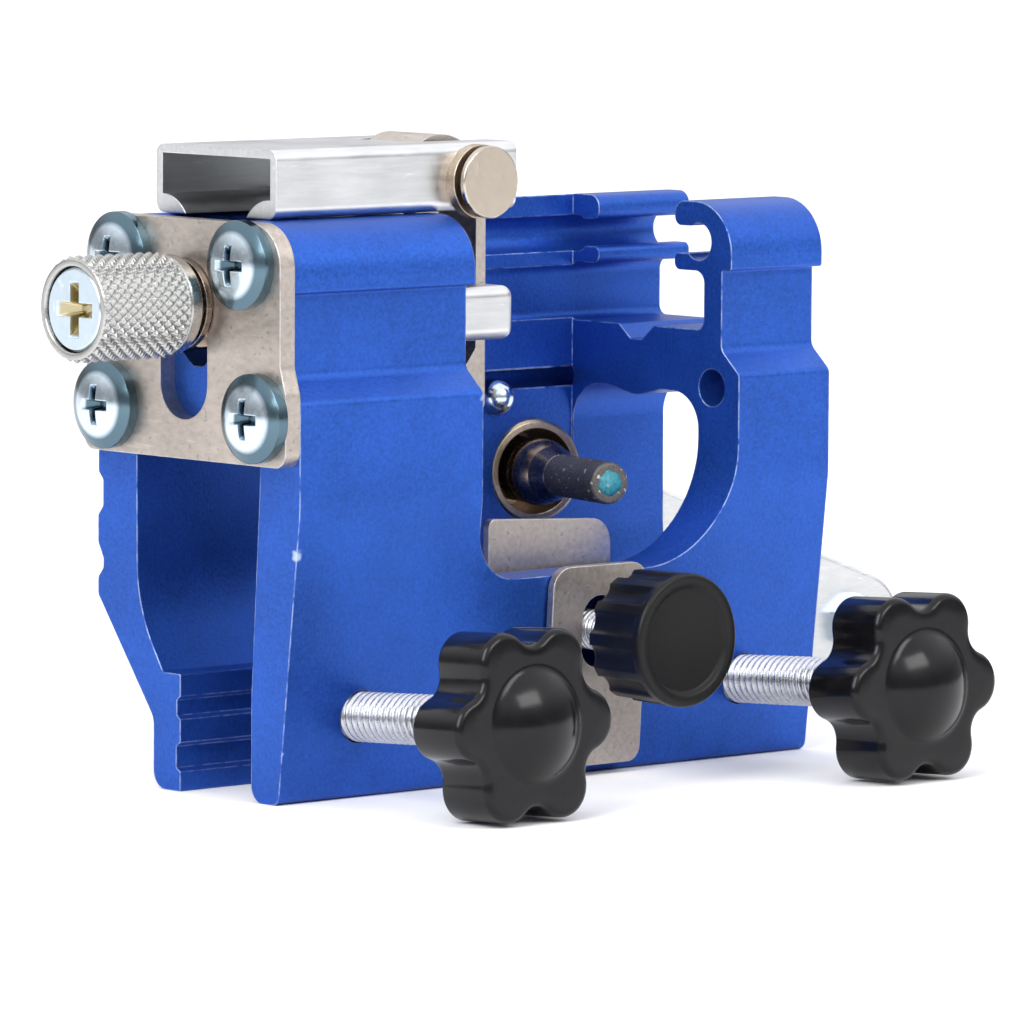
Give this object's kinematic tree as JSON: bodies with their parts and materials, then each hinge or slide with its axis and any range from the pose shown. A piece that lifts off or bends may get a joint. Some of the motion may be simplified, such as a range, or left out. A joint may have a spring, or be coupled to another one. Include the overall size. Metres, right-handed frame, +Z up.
{
  "type": "hand-cranked chain sharpening jig",
  "caption": "Hand-cranked saw-chain sharpening jig: a channelled saddle body with star clamp screws, a screw-driven hinged stop and a cranked burr.",
  "frame": {"origin": "centre of the serrated bar pad", "axes": "+X along the extrusion from the thumb screw end, -Y towards the clamp screws, +Z up from the feet to the carriage"},
  "size_m": [0.156, 0.0968, 0.0757],
  "materials": {
    "blue_anodised": "fine bead-blasted blue anodising",
    "stainless": "brushed",
    "zinc_screw": "bright zinc plate",
    "knurled_nickel": "satin nickel over knurling",
    "raw_aluminium": "satin mill finish",
    "nickel_pin": "polished nickel",
    "bronze": "dull bronze",
    "black_gloss": "gloss moulded",
    "black_satin": "satin moulded",
    "zinc_thread": "zinc plate",
    "dark_steel": "oiled steel",
    "diamond_grit": "bonded grit",
    "grip_plastic": "satin moulded",
    "nylon": "natural nylon"
  },
  "bodies": {
    "frame": {"body_extrusion": "blue_anodised", "end_plate": "stainless", "end_plate_screws": "zinc_screw", "guide_sleeve": "bronze", "sleeve_grub_screw": "dark_steel", "limit_screw": "zinc_screw"},
    "adjuster": {"adjusting_screw": "zinc_screw", "knurled_thumb_sleeve": "knurled_nickel", "neck_bush": "bronze", "neck_clip": "dark_steel"},
    "carriage": {"slider_block": "raw_aluminium", "carriage_channel": "raw_aluminium", "channel_lock_screw": "dark_steel", "pivot_pin": "nickel_pin", "pivot_washer": "bronze", "pivot_bush": "bronze", "pivot_clip": "dark_steel"},
    "pawl": {"stop_pawl": "stainless"},
    "height_stop": {"height_bracket": "stainless", "inner_rest_plate": "stainless", "lock_stud": "zinc_thread"},
    "lock_washer": {"knob_washer": "zinc_screw"},
    "lock_knob": {"fluted_knob": "black_satin", "knob_insert": "bronze"},
    "left_tip": {"left_clamp_tip": "nylon"},
    "left_clamp": {"left_clamp_bolt": "zinc_thread", "left_star_knob": "black_gloss"},
    "right_tip": {"right_clamp_tip": "nylon"},
    "right_clamp": {"right_clamp_bolt": "zinc_thread", "right_star_knob": "black_gloss"},
    "feed_washer": {"thrust_washer": "nylon"},
    "crank": {"spindle": "dark_steel", "diamond_burr": "diamond_grit", "crank_arm": "raw_aluminium", "crank_screw": "zinc_screw", "grip_bolt": "zinc_screw", "grip_nut": "zinc_screw"},
    "grip": {"crank_grip": "grip_plastic"}
  },
  "joints": [
    {"name": "adjuster_turn", "type": "hinge", "parent": "frame", "child": "adjuster", "pos_m": [-0.042, -0.00315, 0.05015], "axis": [1, 0, 0], "range_deg": [-3600, 1080]},
    {"name": "carriage_slide", "type": "slide", "parent": "frame", "child": "carriage", "axis": [1, 0, 0], "range_m": [-0.00241, 0.00801]},
    {"name": "pawl_swing", "type": "hinge", "parent": "carriage", "child": "pawl", "pos_m": [-0.009, -0.00315, 0.06355], "axis": [0, -1, 0], "range_deg": [0, 95]},
    {"name": "height_slide", "type": "slide", "parent": "frame", "child": "height_stop", "axis": [0, -0.1082, 0.9941], "range_m": [-0.001, 0.0025]},
    {"name": "knob_travel", "type": "slide", "parent": "height_stop", "child": "lock_washer", "axis": [0, 1, 0], "range_m": [-0.00151, 0.00501]},
    {"name": "knob_turn", "type": "hinge", "parent": "lock_washer", "child": "lock_knob", "pos_m": [0.0048, -0.02715, 0.01055], "axis": [0, 1, 0], "range_deg": [-675, 2250]},
    {"name": "left_travel", "type": "slide", "parent": "frame", "child": "left_tip", "axis": [0, 0.9984, -0.0558], "range_m": [-0.00201, 0.01001]},
    {"name": "left_turn", "type": "hinge", "parent": "left_tip", "child": "left_clamp", "pos_m": [-0.0304, -0.0185, 0.00275], "axis": [0, 0.9984, -0.0558], "range_deg": [-720, 3600]},
    {"name": "right_travel", "type": "slide", "parent": "frame", "child": "right_tip", "axis": [0, 0.9984, -0.0558], "range_m": [-0.00201, 0.01001]},
    {"name": "right_turn", "type": "hinge", "parent": "right_tip", "child": "right_clamp", "pos_m": [0.0303, -0.0185, 0.00275], "axis": [0, 0.9984, -0.0558], "range_deg": [-720, 3600]},
    {"name": "feed_slide", "type": "slide", "parent": "frame", "child": "feed_washer", "axis": [0.2351, 0.972, 0], "range_m": [0, 0.005]},
    {"name": "crank_spin", "type": "hinge", "parent": "feed_washer", "child": "crank", "pos_m": [0.0204, 0.00785, 0.0265], "axis": [0.2351, 0.972, 0], "continuous": true},
    {"name": "grip_spin", "type": "hinge", "parent": "crank", "child": "grip", "pos_m": [0.08533, 0.02301, 0.00304], "axis": [0.2351, 0.972, 0], "continuous": true}
  ],
  "couplings": [
    {"joint": "carriage_slide", "follows": "adjuster_turn", "m_per_rad": -0.00012732},
    {"joint": "knob_travel", "follows": "knob_turn", "m_per_rad": 0.00012732},
    {"joint": "left_travel", "follows": "left_turn", "m_per_rad": 0.00015915},
    {"joint": "right_travel", "follows": "right_turn", "m_per_rad": 0.00015915}
  ]
}
